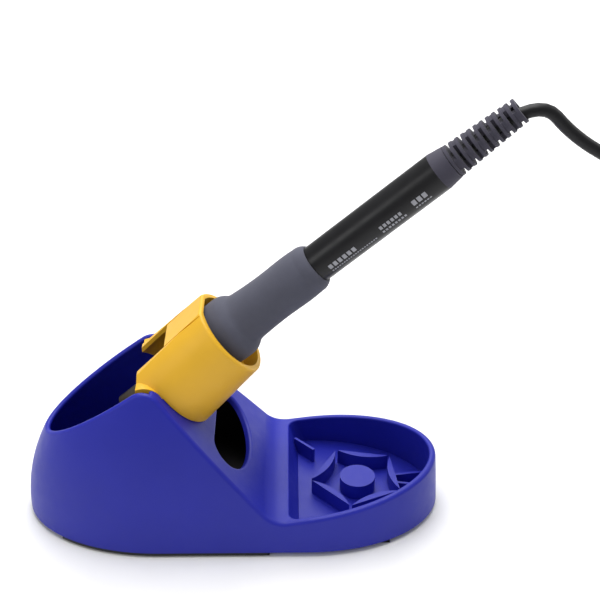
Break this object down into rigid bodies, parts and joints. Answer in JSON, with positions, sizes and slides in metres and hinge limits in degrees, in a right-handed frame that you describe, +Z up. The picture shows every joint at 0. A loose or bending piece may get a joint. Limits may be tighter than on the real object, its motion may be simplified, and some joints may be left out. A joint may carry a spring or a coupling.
{
  "type": "soldering iron stand",
  "caption": "Moulded bench stand with a sloping holder sleeve, open well, wire-cleaner chamber and sponge tray, holding a docked soldering iron that slides out of the sleeve.",
  "frame": {"origin": "on the bench surface under the middle of the centre rubber foot strip, in the stand's plane of symmetry", "axes": "+X along the stand from the well to the sponge tray, +Y away from the side the iron stand is viewed from, +Z up"},
  "size_m": [0.374, 0.1128, 0.1977],
  "materials": {
    "blue_plastic": "fine-grained moulded ABS, satin",
    "black_plastic": "satin black moulded plastic",
    "yellow_plastic": "satin yellow heat-resistant plastic",
    "zinc_steel": "zinc-plated steel sheet",
    "screw_steel": "zinc-plated",
    "black_rubber": "matt black rubber",
    "tip_plating": "iron-plated copper, dulled by heat",
    "stainless_pipe": "stainless, lightly heat-tinted",
    "ceramic": "unglazed white ceramic",
    "dark_nut": "black oxidised, knurled",
    "board_green": "solder-masked circuit board",
    "grey_grip": "matt grey silicone",
    "cord_black": "black silicone cord jacket",
    "connector_metal": "nickel-plated",
    "pin_metal": "gold-flashed"
  },
  "bodies": {
    "stand": {"base_shell": "blue_plastic", "bottom_plate": "black_plastic", "ballast_plate": "zinc_steel", "bottom_screws": "screw_steel", "rubber_feet": "black_rubber", "wire_cup": "black_plastic", "iron_sleeve": "yellow_plastic", "cord_lower": "cord_black", "cord_coil": "cord_black", "cord_tail": "cord_black", "connector_boot": "black_rubber", "connector_shell": "connector_metal", "connector_ring": "connector_metal", "connector_insert": "black_plastic", "connector_pins": "pin_metal"},
    "iron": {"soldering_tip": "tip_plating", "heating_element": "ceramic", "enclosure_pipe": "stainless_pipe", "nut": "dark_nut", "nipple": "black_plastic", "grounding_spring": "stainless_pipe", "terminal_board": "board_green", "grip": "grey_grip", "handle": "black_plastic", "cord_stopper": "black_plastic", "strain_relief": "black_rubber", "cord_root": "cord_black", "cord_upper": "cord_black"}
  },
  "joints": [
    {"name": "iron_draw", "type": "slide", "parent": "stand", "child": "iron", "axis": [0.7604, 0, 0.6494], "range_m": [0, 0.115]}
  ]
}
